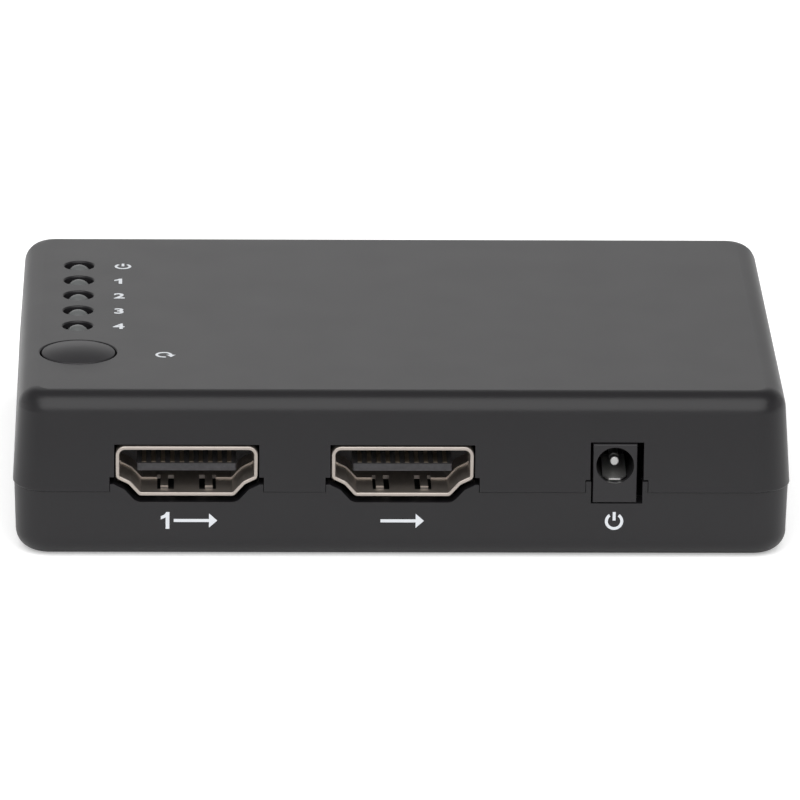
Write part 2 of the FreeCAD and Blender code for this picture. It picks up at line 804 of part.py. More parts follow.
def make_plunger():
    roof_low = switch_top - switch_cover_metal
    flange_top = roof_low - plunger_gap
    plunger = rod(plunger_radius, plunger_bottom(), plunger_top)
    flange = rod(plunger_flange_radius, flange_top - plunger_flange_height, flange_top)
    plunger = fused([plunger, flange])
    plunger.translate(Vector(button_x, button_y, 0))
    return plunger


def plunger_bottom():
    return snap_disc_base() + snap_disc_rise + snap_disc_metal + plunger_dome_gap


def snap_disc_base():
    return switch_top - switch_cover_metal - switch_cavity_depth


def make_snap_disc():
    low = snap_disc_base()
    disc = dome_solid(snap_disc_radius, snap_disc_rise + snap_disc_metal, low)
    inner = dome_solid(snap_disc_radius - snap_disc_metal, snap_disc_rise, low)
    disc = disc.cut(inner)
    disc.translate(Vector(button_x, button_y, 0))
    return disc


def make_switch_base():
    half = switch_width / 2
    x = button_x
    y = button_y
    roof_low = switch_top - switch_cover_metal
    base = box(x - half, x + half, y - half, y + half, board_top, roof_low)
    return base.cut(rod(switch_cavity_radius, snap_disc_base(), roof_low + 1, x, y))


def make_switch_cover():
    half = switch_width / 2
    x = button_x
    y = button_y
    cover = box(x - half, x + half, y - half, y + half, switch_top - switch_cover_metal, switch_top)
    return cover.cut(rod(plunger_radius + plunger_gap, board_top, switch_top + 1, x, y))


def switch_leg_places():
    reach = switch_width / 2 + switch_leg_metal / 2
    across = switch_width / 2 - switch_leg_width
    return [(button_x + sx * reach, button_y + sy * across) for sx in (-1, 1) for sy in (-1, 1)]


def make_switch_legs():
    thin = switch_leg_metal / 2
    wide = switch_leg_width / 2
    bottom = board_height - lead_tail
    top = board_top + switch_height / 3
    legs = [box(x - thin, x + thin, y - wide, y + wide, bottom, top) for x, y in switch_leg_places()]
    return Part.makeCompound(legs)


# Circuit board and what is soldered to it
def standing_block(size, place, z=board_top):
    length, width, height = size
    x, y = place
    return box(x - length / 2, x + length / 2, y - width / 2, y + width / 2, z, z + height)


def gull_pin(place, direction, lift=pin_rise):
    """A pin that leaves a body at a height, drops and ends in a foot on the board."""
    x, y = place
    dx, dy = direction
    across = Vector(-dy, dx, 0) * (pin_width / 2)
    path = [(0, lift), (pin_reach * 0.4, lift), (pin_reach * 0.6, 0), (pin_reach, 0)]
    under = [Vector(x + dx * s, y + dy * s, board_top + z) - across for s, z in path]
    upper = [p + Vector(0, 0, pin_metal) for p in reversed(under)]
    face = Part.Face(Part.makePolygon(under + upper + under[:1]))
    return face.extrude(across * 2)


def pins_on_side(place, direction, count, pitch, reach):
    """A row of pins along one side of a body, which starts at reach from its middle."""
    x, y = place
    dx, dy = direction
    row = []
    for i in range(count):
        along = (i - (count - 1) / 2) * pitch
        row.append(gull_pin((x + dx * reach - dy * along, y + dy * reach + dx * along), direction))
    return row


def make_chip():
    body = standing_block((chip_width, chip_width, chip_height), chip_place, board_top + pin_metal)
    upper = [e for e in body.Edges if e.BoundBox.ZMin > board_top + chip_height]
    return body.makeChamfer(chip_bevel, upper)


def make_chip_pins():
    pins = []
    for direction in ((1, 0), (-1, 0), (0, 1), (0, -1)):
        pins += pins_on_side(chip_place, direction, chip_pin_count, chip_pin_pitch, chip_width / 2)
    return Part.makeCompound(pins)


def make_memories():
    size = (memory_width, memory_length, memory_height)
    return Part.makeCompound([standing_block(size, p, board_top + pin_metal) for p in memory_places])


def make_memory_pins():
    pins = []
    for place in memory_places:
        for direction in ((1, 0), (-1, 0)):
            pins += pins_on_side(place, direction, memory_pin_count, memory_pin_pitch, memory_width / 2)
    return Part.makeCompound(pins)


def make_regulator():
    return standing_block(regulator_size, regulator_place, board_top + pin_metal)


def make_regulator_pins():
    width = regulator_size[1]
    x, y = regulator_place
    pins = pins_on_side(regulator_place, (0, -1), regulator_pin_count, regulator_pin_pitch, width / 2)
    tab_width, tab_reach, tab_metal = regulator_tab
    tab = box(x - tab_width / 2, x + tab_width / 2, y + width / 2, y + width / 2 + tab_reach,
              board_top, board_top + tab_metal)
    return Part.makeCompound(pins + [tab])


def make_coil():
    block = standing_block((coil_width, coil_width, coil_height), coil_place, board_top + pin_metal)
    uprights = [e for e in block.Edges if e.BoundBox.ZLength > coil_height / 2]
    return block.makeFillet(coil_corner, uprights)


def make_coil_pads():
    x, y = coil_place
    half = coil_width / 2
    pads = []
    for side in (-1, 1):
        outer = x + side * half
        inner = outer - side * coil_pad
        pads.append(box(min(inner, outer), max(inner, outer), y - coil_pad, y + coil_pad,
                        board_top, board_top + pin_metal))
    return Part.makeCompound(pads)


def make_crystal():
    can = standing_block(crystal_size, crystal_place)
    uprights = [e for e in can.Edges if e.BoundBox.ZLength > crystal_size[2] / 2]
    return can.makeFillet(crystal_corner, uprights)


def make_can_feet():
    size = (can_foot_width, can_foot_width, can_foot_height)
    return Part.makeCompound([standing_block(size, p) for p in can_places])


def make_cans():
    low = board_top + can_foot_height
    cans = []
    for x, y in can_places:
        can = rod(can_radius, low, low + can_height, x, y)
        cans.append(round_level_edges(can, low + can_height, can_edge))
    return Part.makeCompound(cans)


def feet_end():
    """Distance from a socket's mouth to the end of its solder feet."""
    return carrier_end + contact_foot


def port_row(count, pitch, gap, size, x, side):
    """A row of small parts behind one socket."""
    y = side * (port_mouth - feet_end() - gap - size[1] / 2)
    return [standing_block(size, (x + (i - (count - 1) / 2) * pitch, y)) for i in range(count)]


def make_resistors():
    upright = (chip_part[1], chip_part[0], chip_part[2])
    rows = []
    for x, side in all_port_places():
        rows += port_row(resistor_count, resistor_pitch, resistor_gap, upright, x, side)
    return Part.makeCompound(rows)


def make_guards():
    rows = []
    gap = resistor_gap + chip_part[0] + guard_gap
    for x, side in all_port_places():
        rows += port_row(2, 2 * guard_size[0], gap, guard_size, x, side)
    return Part.makeCompound(rows)


def make_ceramics():
    """Small capacitors beside the main chip."""
    x, y = chip_place
    reach = chip_width / 2 + pin_reach + ceramic_gap
    upright = (chip_part[1], chip_part[0], chip_part[2])
    parts = []
    for along in ceramic_places:
        parts.append(standing_block(upright, (x - reach, y + along)))
        parts.append(standing_block(upright, (x + reach, y + along)))
    return Part.makeCompound(parts)


def make_board():
    board = plan_block(board_width, board_depth, corner_radius - wall, board_height, board_top)
    holes = [rod(screw_core_radius + screw_clearance, 0, case_height, x, y) for x, y in screw_places]
    lead_hole = lead_width / 2 * math.sqrt(2) + leg_clearance
    holes += [rod(lead_hole, 0, case_height, x, y) for x, y in lead_places()]
    half_metal = shell_metal / 2 + leg_clearance
    half_leg = leg_width / 2 + leg_clearance
    for x, side in all_port_places():
        for depth in leg_depths:
            y = side * (port_mouth - depth)
            for out in (-1, 1):
                leg_x = x + out * (shell_width / 2 - shell_metal / 2)
                holes.append(box(leg_x - half_metal, leg_x + half_metal, y - half_leg, y + half_leg,
                                 0, case_height))
    half_x = jack_leg_width / 2 + leg_clearance
    half_y = jack_leg_metal / 2 + leg_clearance
    for depth in jack_leg_depths:
        y = jack_front + depth
        holes.append(box(jack_x - half_x, jack_x + half_x, y - half_y, y + half_y, 0, case_height))
    half_x = switch_leg_metal / 2 + leg_clearance
    half_y = switch_leg_width / 2 + leg_clearance
    for x, y in switch_leg_places():
        holes.append(box(x - half_x, x + half_x, y - half_y, y + half_y, 0, case_height))
    return board.cut(Part.makeCompound(holes))


def make_sockets():
    shell = make_shell()
    contacts = [make_contact(x, on_top) for x, on_top in contact_places()]
    carrier = make_carrier(contacts)
    pieces = {}
    for ports, side in ((front_ports, -1), (back_ports, 1)):
        for name, x in ports.items():
            pieces["hdmi_shell_" + name] = placed_socket(shell, x, side)
            pieces["hdmi_tongue_" + name] = placed_socket(carrier, x, side)
            pieces["hdmi_contacts_" + name] = placed_socket(Part.makeCompound(contacts), x, side)
    return pieces


def make_parts():
    parts = {
        "top_cover": make_top_cover(),
        "bottom_cover": make_bottom_cover(),
        "case_screws": Part.makeCompound([make_screw(x, y) for x, y in screw_places]),
        "circuit_board": make_board(),
        "power_jack_body": make_jack_body(),
        "power_jack_pin": make_jack_pin(),
        "power_jack_leaf": make_jack_leaf(),
        "power_jack_legs": make_jack_legs(),
        "lamp_leads": make_lamp_leads(),
        "reset_button": make_button(),
        "switch_plunger": make_plunger(),
        "switch_snap_disc": make_snap_disc(),
        "switch_base": make_switch_base(),
        "switch_cover": make_switch_cover(),
        "switch_legs": make_switch_legs(),
        "splitter_chip": make_chip(),
        "splitter_chip_pins": make_chip_pins(),
        "memory_chips": make_memories(),
        "memory_chip_pins": make_memory_pins(),
        "voltage_regulator": make_regulator(),
        "voltage_regulator_pins": make_regulator_pins(),
        "power_coil": make_coil(),
        "power_coil_pads": make_coil_pads(),
        "clock_crystal": make_crystal(),
        "capacitor_cans": make_cans(),
        "capacitor_feet": make_can_feet(),
        "ceramic_capacitors": make_ceramics(),
        "resistors": make_resistors(),
        "surge_guards": make_guards(),
    }
    names = ["lamp_power"] + ["lamp_output_%d" % i for i in range(1, lamp_count)]
    for name, (x, y) in zip(names, lamp_places):
        parts[name] = make_lamp(x, y)
    parts.update(make_sockets())
    return parts


os.makedirs("parts", exist_ok=True)
for name, shape in make_parts().items():
    solid = solids_of(shape)
    solid.exportStep("parts/%s.step" % name)
    box_of = solid.BoundBox
    print("%-26s solids %3d valid %s  volume %9.3f  z %6.2f to %6.2f" % (
        name, len(solid.Solids), solid.isValid(), solid.Volume, box_of.ZMin, box_of.ZMax))
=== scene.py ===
"""The finishes, printed marks and photo stage of a four-way HDMI splitter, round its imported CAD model.

Lengths are in metres, in the model's own frame: X points to the right, Y to the back and Z up.
The case stands on Z = 0.
"""
import math

import bpy
from mathutils import Matrix, Vector
from mathutils.bvhtree import BVHTree


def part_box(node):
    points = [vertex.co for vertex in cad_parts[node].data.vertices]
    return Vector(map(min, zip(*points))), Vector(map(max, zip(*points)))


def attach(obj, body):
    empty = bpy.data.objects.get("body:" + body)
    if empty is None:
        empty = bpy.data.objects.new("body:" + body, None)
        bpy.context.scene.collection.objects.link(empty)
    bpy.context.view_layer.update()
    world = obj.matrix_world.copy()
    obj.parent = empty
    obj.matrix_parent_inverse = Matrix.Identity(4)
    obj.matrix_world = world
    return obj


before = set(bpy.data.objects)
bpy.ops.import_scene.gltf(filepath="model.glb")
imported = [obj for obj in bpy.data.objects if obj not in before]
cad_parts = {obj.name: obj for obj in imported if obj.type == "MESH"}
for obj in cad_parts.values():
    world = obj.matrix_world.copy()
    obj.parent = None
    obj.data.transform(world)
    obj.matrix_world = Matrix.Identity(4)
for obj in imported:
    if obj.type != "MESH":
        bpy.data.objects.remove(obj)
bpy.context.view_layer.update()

bl_info = {
    "name": "HDMI splitter",
    "version": (1, 0, 0),
    "blender": (4, 5, 0),
    "location": "View3D > Sidebar > Splitter",
    "description": "Finishes, printed marks and stage for a four-way HDMI splitter",
    "category": "Object",
}

case_low, case_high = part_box("top_cover")
base_low, base_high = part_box("bottom_cover")


def linear(level):
    """A screen level from 0 to 255 as the amount of light that it stands for, by the sRGB curve."""
    share = level / 255
    return share / 12.92 if share <= 0.04045 else ((share + 0.055) / 1.055) ** 2.4


def tint(red, green, blue):
    """A colour from its three screen levels."""
    return (linear(red), linear(green), linear(blue))


def opaque(colour):
    """A colour with full cover, as colour sockets want it."""
    return (*colour, 1.0)


def scaled(colour, factor):
    """A lighter or darker shade of a colour."""
    return tuple(part * factor for part in colour)


# Settings

class SplitterCase(bpy.types.PropertyGroup):
    """The moulded covers and their screws."""

    colour: bpy.props.FloatVectorProperty(
        name="Colour", description="Colour of the two moulded covers",
        subtype="COLOR", size=3, min=0, max=1, default=tint(27, 26, 28))
    roughness: bpy.props.FloatProperty(
        name="Roughness", description="How dull the moulded surface is",
        subtype="FACTOR", min=0, max=1, default=0.35)
    grain: bpy.props.FloatProperty(
        name="Grain", description="Width of one grain of the moulded texture",
        subtype="DISTANCE", unit="LENGTH", min=0.00001, max=0.002, default=0.00016)
    grain_depth: bpy.props.FloatProperty(
        name="Grain depth", description="Height of the moulded texture",
        subtype="DISTANCE", unit="LENGTH", min=0, max=0.0002, default=0.000006)
    screw_colour: bpy.props.FloatVectorProperty(
        name="Screw colour", description="Colour of the plated screws",
        subtype="COLOR", size=3, min=0, max=1, default=tint(150, 150, 155))


class SplitterSockets(bpy.types.PropertyGroup):
    """The five sockets and the power socket."""

    shell_colour: bpy.props.FloatVectorProperty(
        name="Shell colour", description="Colour of the nickel-plated shells",
        subtype="COLOR", size=3, min=0, max=1, default=tint(191, 182, 174))
    shell_roughness: bpy.props.FloatProperty(
        name="Shell roughness", description="How dull the plated shells are",
        subtype="FACTOR", min=0, max=1, default=0.4)
    plastic_colour: bpy.props.FloatVectorProperty(
        name="Insert colour", description="Colour of the moulded inserts and tongues",
        subtype="COLOR", size=3, min=0, max=1, default=tint(54, 53, 55))
    gold_colour: bpy.props.FloatVectorProperty(
        name="Contact colour", description="Colour of the gold-plated contacts",
        subtype="COLOR", size=3, min=0, max=1, default=tint(168, 156, 140))
    jack_colour: bpy.props.FloatVectorProperty(
        name="Power socket colour", description="Colour of the power socket's housing",
        subtype="COLOR", size=3, min=0, max=1, default=tint(31, 30, 32))
    pin_colour: bpy.props.FloatVectorProperty(
        name="Pin colour", description="Colour of the power socket's pin",
        subtype="COLOR", size=3, min=0, max=1, default=tint(204, 204, 203))
    leaf_colour: bpy.props.FloatVectorProperty(
        name="Leaf colour", description="Colour of the power socket's leaf",
        subtype="COLOR", size=3, min=0, max=1, default=tint(240, 240, 238))


class SplitterControls(bpy.types.PropertyGroup):
    """The lamps, the reset button and the switch under it."""

    lamp_colour: bpy.props.FloatVectorProperty(
        name="Lamp colour", description="Colour of an unlit lamp",
        subtype="COLOR", size=3, min=0, max=1, default=tint(86, 88, 88))
    lamp_roughness: bpy.props.FloatProperty(
        name="Lamp roughness", description="How dull a lamp's dome is",
        subtype="FACTOR", min=0, max=1, default=0.38)
    button_colour: bpy.props.FloatVectorProperty(
        name="Button colour", description="Colour of the reset button",
        subtype="COLOR", size=3, min=0, max=1, default=tint(37, 36, 38))
    button_roughness: bpy.props.FloatProperty(
        name="Button roughness", description="How dull the reset button is",
        subtype="FACTOR", min=0, max=1, default=0.43)


class SplitterMarks(bpy.types.PropertyGroup):
    """The white marks printed on the covers."""

    colour: bpy.props.FloatVectorProperty(
        name="Ink colour", description="Colour of the printed marks",
        subtype="COLOR", size=3, min=0, max=1, default=tint(205, 208, 212))
    thickness: bpy.props.FloatProperty(
        name="Ink thickness", description="How far the ink stands above the cover",
        subtype="DISTANCE", unit="LENGTH", min=0, max=0.0002, default=0.00002)
    numeral_height: bpy.props.FloatProperty(
        name="Numeral height", description="Height of the numerals beside the lamps",
        subtype="DISTANCE", unit="LENGTH", min=0.0005, max=0.01, default=0.0018)
    front_height: bpy.props.FloatProperty(
        name="Front mark height", description="Height of the marks under the sockets",
        subtype="DISTANCE", unit="LENGTH", min=0.0005, max=0.01, default=0.0019)
    arrow_length: bpy.props.FloatProperty(
        name="Arrow length", description="Length of the arrows under the sockets",
        subtype="DISTANCE", unit="LENGTH", min=0.001, max=0.02, default=0.0046)
    lamp_gap: bpy.props.FloatProperty(
        name="Lamp gap", description="Middle of a lamp to the left side of its numeral",
        subtype="DISTANCE", unit="LENGTH", min=0, max=0.02, default=0.0039)
    numeral_drop: bpy.props.FloatProperty(
        name="Numeral drop", description="How far a numeral's middle is in front of its lamp's",
        subtype="DISTANCE", unit="LENGTH", min=0, max=0.002, default=0.0003)
    button_gap: bpy.props.FloatProperty(
        name="Button gap", description="Middle of the button to the middle of its mark",
        subtype="DISTANCE", unit="LENGTH", min=0, max=0.03, default=0.0089)
    button_drop: bpy.props.FloatProperty(
        name="Button mark drop", description="How far the reset sign's middle is in front of the button's",
        subtype="DISTANCE", unit="LENGTH", min=0, max=0.005, default=0.0009)
    front_rise: bpy.props.FloatProperty(
        name="Front mark rise", description="Surface under the case to the middle of the front marks",
        subtype="DISTANCE", unit="LENGTH", min=0, max=0.02, default=0.0042)


class SplitterStage(bpy.types.PropertyGroup):
    """The floor, the lamps of the studio and the camera."""

    floor_colour: bpy.props.FloatVectorProperty(
        name="Floor colour", description="Colour of the floor",
        subtype="COLOR", size=3, min=0, max=1, default=tint(236, 236, 236))
    # Painted shade: the floor's colour is painted darker in front of the case, down to this share of itself
    # at the end of the fade length.
    fade: bpy.props.FloatProperty(
        name="Floor fade", description="How much of the floor's colour is left in front of the case",
        subtype="FACTOR", min=0, max=1, default=0.6)
    fade_length: bpy.props.FloatProperty(
        name="Fade length", description="Front of the case to where the floor has faded",
        subtype="DISTANCE", unit="LENGTH", min=0.001, max=2, default=0.09)
    camera_place: bpy.props.FloatVectorProperty(
        name="Camera place", description="Where the camera stands",
        subtype="TRANSLATION", unit="LENGTH", size=3, default=(-0.02648, -0.90411, 0.31008))
    camera_yaw: bpy.props.FloatProperty(
        name="Camera yaw", description="How far the camera turns to the right of straight ahead",
        subtype="ANGLE", unit="ROTATION", default=math.radians(1.708))
    camera_pitch: bpy.props.FloatProperty(
        name="Camera pitch", description="How far the camera looks down",
        subtype="ANGLE", unit="ROTATION", default=math.radians(18.464))
    camera_roll: bpy.props.FloatProperty(
        name="Camera roll", description="How far the camera leans over to the right",
        subtype="ANGLE", unit="ROTATION", default=math.radians(0.669))
    camera_lens: bpy.props.FloatProperty(
        name="Camera lens", description="Focal length in millimetres on a 36 mm wide sensor",
        min=10, max=2000, default=394.7)


# Shader nodes

class Value:
    """One number that a shader works out, for use in plain expressions."""

    def __init__(self, finish, socket):
        self.finish = finish
        self.socket = socket

    def worked(self, operation, first, second):
        return self.finish.add("ShaderNodeMath", {"operation": operation}, {0: first, 1: second})

    def __add__(self, other):
        return self.worked("ADD", self, other)

    def __radd__(self, other):
        return self.worked("ADD", other, self)

    def __sub__(self, other):
        return self.worked("SUBTRACT", self, other)

    def __rsub__(self, other):
        return self.worked("SUBTRACT", other, self)

    def __mul__(self, other):
        return self.worked("MULTIPLY", self, other)

    def __rmul__(self, other):
        return self.worked("MULTIPLY", other, self)


class Finish:
    """The node tree of a material or a world, and short ways to add to it."""

    def __init__(self, owner):
        owner.use_nodes = True
        self.owner = owner
        self.tree = owner.node_tree
        self.tree.nodes.clear()

    def add(self, kind, settings=None, inputs=None, output=0):
        """A node of any type, its settings made before its sockets are filled."""
        node = self.tree.nodes.new(kind)
        for name, value in (settings or {}).items():
            if name == "stops":
                set_stops(node.color_ramp, value)
            else:
                setattr(node, name, value)
        for name, value in (inputs or {}).items():
            if isinstance(value, Value):
                self.tree.links.new(value.socket, node.inputs[name])
            else:
                node.inputs[name].default_value = value
        return Value(self, node.outputs[output]) if len(node.outputs) else None

    def place(self):
        """The point on the object, in its own frame."""
        return self.add("ShaderNodeTexCoord", output="Object")

    def noise(self, width, detail, roughness, stretch):
        """Noise from 0 to 1 whose blots are about as wide as the given length."""
        spot = self.add("ShaderNodeVectorMath", {"operation": "MULTIPLY"}, {0: self.place(), 1: stretch})
        return self.add("ShaderNodeTexNoise", None,
                        {"Vector": spot, "Scale": 1 / width, "Detail": detail, "Roughness": roughness})

    def cloud(self, width):
        """Soft blots that drift slowly over the surface."""
        return self.noise(width, detail=2.0, roughness=0.5, stretch=(1, 1, 1))

    def grain(self, width, stretch=(1, 1, 1)):
        """Crisp grains with smaller ones between them."""
        return self.noise(width, detail=3.0, roughness=0.6, stretch=stretch)

    def part(self, vector, axis):
        """One of the three numbers of a vector."""
        return self.add("ShaderNodeSeparateXYZ", None, {0: vector}, axis)

    def between(self, factor, first, second):
        """A colour between two others."""
        return self.add("ShaderNodeMix", {"data_type": "RGBA"},
                        {0: factor, 6: opaque(first), 7: opaque(second)}, 2)

    def ramp(self, factor, stops):
        """A smooth step through black, grey and white."""
        return self.add("ShaderNodeValToRGB", {"stops": stops}, {0: factor})

    def bump(self, height, distance):
        """The surface's slope where a height from 0 to 1 stands for a distance."""
        return self.add("ShaderNodeBump", None, {"Strength": 1.0, "Distance": distance, "Height": height})

    def surface(self, inputs):
        """The finished surface, from the sockets of a principled shader."""
        shader = self.add("ShaderNodeBsdfPrincipled", None, inputs)
        self.add("ShaderNodeOutputMaterial", None, {"Surface": shader})
        return self.owner


def set_stops(ramp, stops):
    """Give a colour ramp its stops, each a place from 0 to 1 and a grey level."""
    while len(ramp.elements) < len(stops):
        ramp.elements.new(1.0)
    for element, (place, level) in zip(ramp.elements, stops):
        element.position = place
        element.color = (level, level, level, 1.0)


def new_finish(name):
    """An empty finish in a new material."""
    return Finish(bpy.data.materials.new(name))


# Materials

def moulded_plastic(name, colour, roughness, grain, grain_depth, blotch=0.006, contrast=0.14):
    """Plastic from a spark-eroded mould: fine grain, and a tone that drifts a little."""
    finish = new_finish(name)
    fine = finish.grain(grain)
    drift = finish.cloud(blotch)
    shade = drift * 0.6 + fine * 0.4
    base = finish.between(shade, scaled(colour, 1 - contrast), scaled(colour, 1 + contrast))
    return finish.surface({
        "Base Color": base,
        "Roughness": roughness - 0.03 + drift * 0.04 + fine * 0.03,
        "Specular IOR Level": 0.4,
        "Normal": finish.bump(fine, grain_depth),
    })


def plated_metal(name, colour, roughness, stretch=(1, 1, 1), metallic=1.0):
    """Rolled and plated sheet, with faint streaks along one direction."""
    finish = new_finish(name)
    streaks = finish.grain(0.0004, stretch)
    cloud = finish.cloud(0.003)
    base = finish.between(streaks * 0.5 + cloud * 0.5, scaled(colour, 0.82), scaled(colour, 1.08))
    return finish.surface({
        "Base Color": base,
        "Metallic": metallic,
        "Roughness": roughness - 0.06 + streaks * 0.08 + cloud * 0.06,
        "Normal": finish.bump(streaks, 0.000002),
    })


def ink(name, colour):
    """Screen-printed ink with pinholes and slightly uneven cover."""
    finish = new_finish(name)
    fine = finish.grain(0.00012)
    base = finish.between(fine, scaled(colour, 0.9), scaled(colour, 1.04))
    return finish.surface({
        "Base Color": base,
        "Roughness": 0.5 + fine * 0.12,
        "Normal": finish.bump(fine, 0.000003),
    })


def lamp_lens(name, colour, roughness):
    """A smoky, slightly milky lens over an unlit lamp."""
    finish = new_finish(name)
    cloud = finish.cloud(0.0009)
    base = finish.between(cloud, scaled(colour, 0.88), scaled(colour, 1.1))
    return finish.surface({
        "Base Color": base,
        "Roughness": roughness + cloud * 0.05,
        "Coat Weight": 0.2,
        "Coat Roughness": 0.2,
        "Normal": finish.bump(cloud, 0.000004),
    })


def circuit_laminate(name):
    """Black lacquer over woven glass, with the copper tracks showing as lighter lines."""
    finish = new_finish(name)
    tracks = finish.add("ShaderNodeTexBrick", {"offset": 0.37, "squash": 1.0}, {
        "Vector": finish.place(), "Scale": 420.0, "Mortar Size": 0.05,
        "Color1": (0, 0, 0, 1), "Color2": (0, 0, 0, 1), "Mortar": (1, 1, 1, 1)}, "Fac")
    cloud = finish.cloud(0.002)
    base = finish.between(tracks * 0.6 + cloud * 0.3, tint(12, 13, 13), tint(30, 33, 32))
    return finish.surface({
        "Base Color": base,
        "Roughness": 0.34 + cloud * 0.1,
        "Normal": finish.bump(tracks, 0.00003),
        "Coat Weight": 0.3,
        "Coat Roughness": 0.15,
    })


def ceramic_block(name, dark, light, grain):
    """Fired ceramic whose grains run from a dark tone to a light one."""
    finish = new_finish(name)
    fine = finish.grain(grain)
    base = finish.between(fine, dark, light)
    return finish.surface({
        "Base Color": base,
        "Roughness": 0.4 + fine * 0.15,
        "Normal": finish.bump(fine, 0.000005),
    })


def cover(names, material):
    """Put one material on CAD nodes, whose meshes stay as they are."""
    for name in names:
        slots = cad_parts[name].data.materials
        slots.clear()
        slots.append(material)


def nodes_named(start):
    """The CAD nodes whose names begin alike, in order."""
    return sorted(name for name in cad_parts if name.startswith(start))


def middle(node):
    """The middle of a node's box."""
    low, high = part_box(node)
    return (low + high) / 2


# Operators

class SPLITTER_OT_case(bpy.types.Operator):
    """Finish the two covers and the screws that join them"""

    bl_idname = "splitter.case"
    bl_label = "Case"

    def execute(self, context):
        look = context.scene.splitter_case
        plastic = moulded_plastic("case_plastic", look.colour, look.roughness, look.grain, look.grain_depth)
        cover(["top_cover", "bottom_cover"], plastic)
        cover(["case_screws"], plated_metal("screw_metal", look.screw_colour, roughness=0.34))
        return {"FINISHED"}


class SPLITTER_OT_sockets(bpy.types.Operator):
    """Finish the shells, tongues and contacts of the five sockets"""

    bl_idname = "splitter.sockets"
    bl_label = "HDMI sockets"

    def execute(self, context):
        look = context.scene.splitter_sockets
        shell = plated_metal("socket_metal", look.shell_colour, look.shell_roughness,
                             stretch=(1, 0.2, 1), metallic=0.94)
        plastic = moulded_plastic("socket_plastic", look.plastic_colour, roughness=0.45,
                                  grain=0.0003, grain_depth=0.000006, blotch=0.0006, contrast=0.7)
        gold = plated_metal("contact_gold", look.gold_colour, roughness=0.45, stretch=(1, 0.15, 1))
        cover(nodes_named("hdmi_shell_"), shell)
        cover(nodes_named("hdmi_tongue_"), plastic)
        cover(nodes_named("hdmi_contacts_"), gold)
        return {"FINISHED"}


class SPLITTER_OT_power_socket(bpy.types.Operator):
    """Finish the power socket, its pin and its leaf"""

    bl_idname = "splitter.power_socket"
    bl_label = "Power socket"

    def execute(self, context):
        look = context.scene.splitter_sockets
        body = moulded_plastic("jack_plastic", look.jack_colour, roughness=0.4,
                               grain=0.00012, grain_depth=0.000003)
        cover(["power_jack_body"], body)
        cover(["power_jack_pin"], plated_metal("jack_metal", look.pin_colour, roughness=0.4))
        cover(["power_jack_leaf"], plated_metal("leaf_metal", look.leaf_colour, roughness=0.42))
        return {"FINISHED"}


class SPLITTER_OT_lamps(bpy.types.Operator):
    """Finish the five lamps"""

    bl_idname = "splitter.lamps"
    bl_label = "Lamps"

    def execute(self, context):
        look = context.scene.splitter_controls
        lens = lamp_lens("lamp_plastic", look.lamp_colour, look.lamp_roughness)
        cover(["lamp_power"] + nodes_named("lamp_output_"), lens)
        return {"FINISHED"}


class SPLITTER_OT_reset_button(bpy.types.Operator):
    """Finish the reset button and the push switch under it"""

    bl_idname = "splitter.reset_button"
    bl_label = "Reset button"

    def execute(self, context):
        look = context.scene.splitter_controls
        case = context.scene.splitter_case
        cap = moulded_plastic("button_plastic", look.button_colour, look.button_roughness,
                              case.grain, case.grain_depth / 2)
        dark = moulded_plastic("switch_plastic", tint(30, 30, 32), roughness=0.45,
                               grain=0.00012, grain_depth=0.000003)
        metal = plated_metal("switch_metal", tint(186, 186, 184), roughness=0.3)
        cover(["reset_button"], cap)
        cover(["switch_plunger", "switch_base"], dark)
        cover(["switch_cover", "switch_snap_disc"], metal)
        return {"FINISHED"}


class SPLITTER_OT_circuit_board(bpy.types.Operator):
    """Finish the circuit board and everything soldered to it"""

    bl_idname = "splitter.circuit_board"
    bl_label = "Circuit board"

    def execute(self, context):
        tin = plated_metal("tin_plate", tint(188, 188, 186), roughness=0.35)
        epoxy = moulded_plastic("chip_plastic", tint(28, 28, 30), roughness=0.5,
                                grain=0.00008, grain_depth=0.000004, blotch=0.002)
        crystal = plated_metal("crystal_metal", tint(205, 205, 202), roughness=0.24)
        cans = plated_metal("can_metal", tint(208, 209, 212), roughness=0.3, stretch=(1, 1, 0.1))
        ferrite = ceramic_block("coil_ferrite", tint(52, 52, 54), tint(70, 70, 73), grain=0.0003)
        ceramic = ceramic_block("ceramic_chip", tint(150, 118, 84), tint(176, 146, 110), grain=0.0002)
        film = ceramic_block("resistor_film", tint(24, 24, 27), tint(44, 44, 48), grain=0.0002)
        cover(["circuit_board"], circuit_laminate("board_laminate"))
        cover(["splitter_chip", "memory_chips", "voltage_regulator", "surge_guards"], epoxy)
        pins = ["splitter_chip_pins", "memory_chip_pins", "voltage_regulator_pins", "power_coil_pads"]
        cover(pins + ["power_jack_legs", "switch_legs", "lamp_leads"], tin)
        cover(["power_coil"], ferrite)
        cover(["clock_crystal"], crystal)
        cover(["capacitor_cans"], cans)
        cover(["capacitor_feet"], bpy.data.materials["switch_plastic"])
        cover(["ceramic_capacitors"], ceramic)
        cover(["resistors"], film)
        return {"FINISHED"}


# Printed marks

SIGN_SHARE = 1.1  # a sign's height, as a share of a numeral's


def arc_points(radius, start, end, count):
    """Points along an arc, by angles in degrees."""
    turns = [math.radians(start + (end - start) * i / (count - 1)) for i in range(count)]
    return [(radius * math.cos(turn), radius * math.sin(turn)) for turn in turns]


def arc_band(radius, width, start, end, count=40):
    """The outline of a stroke that follows an arc."""
    outer = arc_points(radius + width / 2, start, end, count)
    inner = arc_points(radius - width / 2, end, start, count)
    return outer + inner


def bar(x0, x1, y0, y1):
    """The outline of an upright rectangle."""
    return [(x0, y0), (x1, y0), (x1, y1), (x0, y1)]


